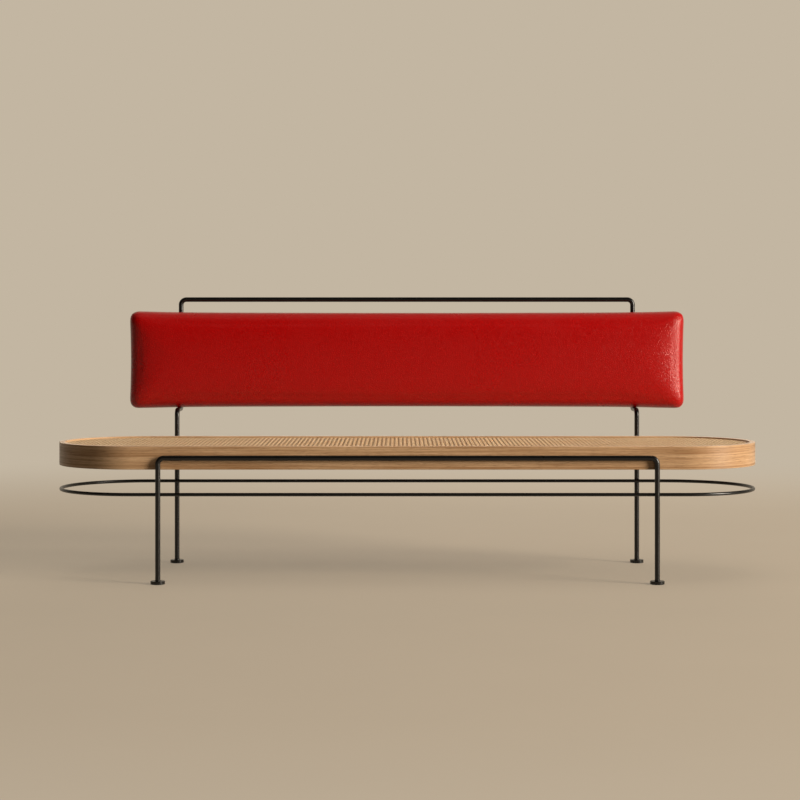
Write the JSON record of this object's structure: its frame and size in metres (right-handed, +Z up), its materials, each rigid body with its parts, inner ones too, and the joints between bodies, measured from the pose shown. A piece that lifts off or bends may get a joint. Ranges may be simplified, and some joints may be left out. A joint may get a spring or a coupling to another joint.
{
  "type": "cane bench",
  "caption": "Long bench with a woven cane seat in a round-ended oak hoop, a black bent steel rod frame with a ring between its legs, and a red leather back cushion.",
  "frame": {"origin": "on the floor, under the middle of the bench's bounding box", "axes": "+X along the bench, -Y towards the front where a sitter's legs hang, +Z up"},
  "size_m": [2.1002, 0.6496, 0.838],
  "materials": {
    "black_steel": "bent and welded mild steel rod, satin black powder coat",
    "oak": "bent oak band, fine grain along its length, clear matt lacquer",
    "beech": "plain beech, sanded and unfinished",
    "plywood": "birch plywood, unfinished",
    "cane": "half-inch woven rattan cane webbing, natural gloss",
    "reed": "natural rattan reed",
    "red_leather": "pebbled red leather, soft sheen",
    "foam": "cut polyurethane foam",
    "zinc_steel": "bright zinc plate",
    "dark_screw_steel": "black oxide",
    "glide_nylon": "moulded black nylon"
  },
  "bodies": {
    "root": {"front_leg_frame": "black_steel", "back_frame": "black_steel", "stretcher_ring": "black_steel", "foot_front_left": "black_steel", "foot_front_right": "black_steel", "foot_rear_left": "black_steel", "foot_rear_right": "black_steel", "glide_front_left": "glide_nylon", "glide_front_right": "glide_nylon", "glide_rear_left": "glide_nylon", "glide_rear_right": "glide_nylon", "rim_front_rail": "oak", "rim_rear_rail": "oak", "rim_left_bow": "oak", "rim_right_bow": "oak", "rim_dowels": "beech", "liner_front": "beech", "liner_rear": "beech", "liner_left": "beech", "liner_right": "beech", "liner_screws": "zinc_steel", "cross_rail_left": "beech", "cross_rail_middle": "beech", "cross_rail_right": "beech", "cane_panel": "cane", "cane_spline": "reed", "front_bar_screws": "dark_screw_steel", "rear_leg_screws": "dark_screw_steel", "cushion_board": "plywood", "cushion_tee_nuts": "zinc_steel", "cushion_foam": "foam", "cushion_cover": "red_leather", "cushion_back_panel": "red_leather", "cushion_screws": "dark_screw_steel"}
  },
  "joints": []
}
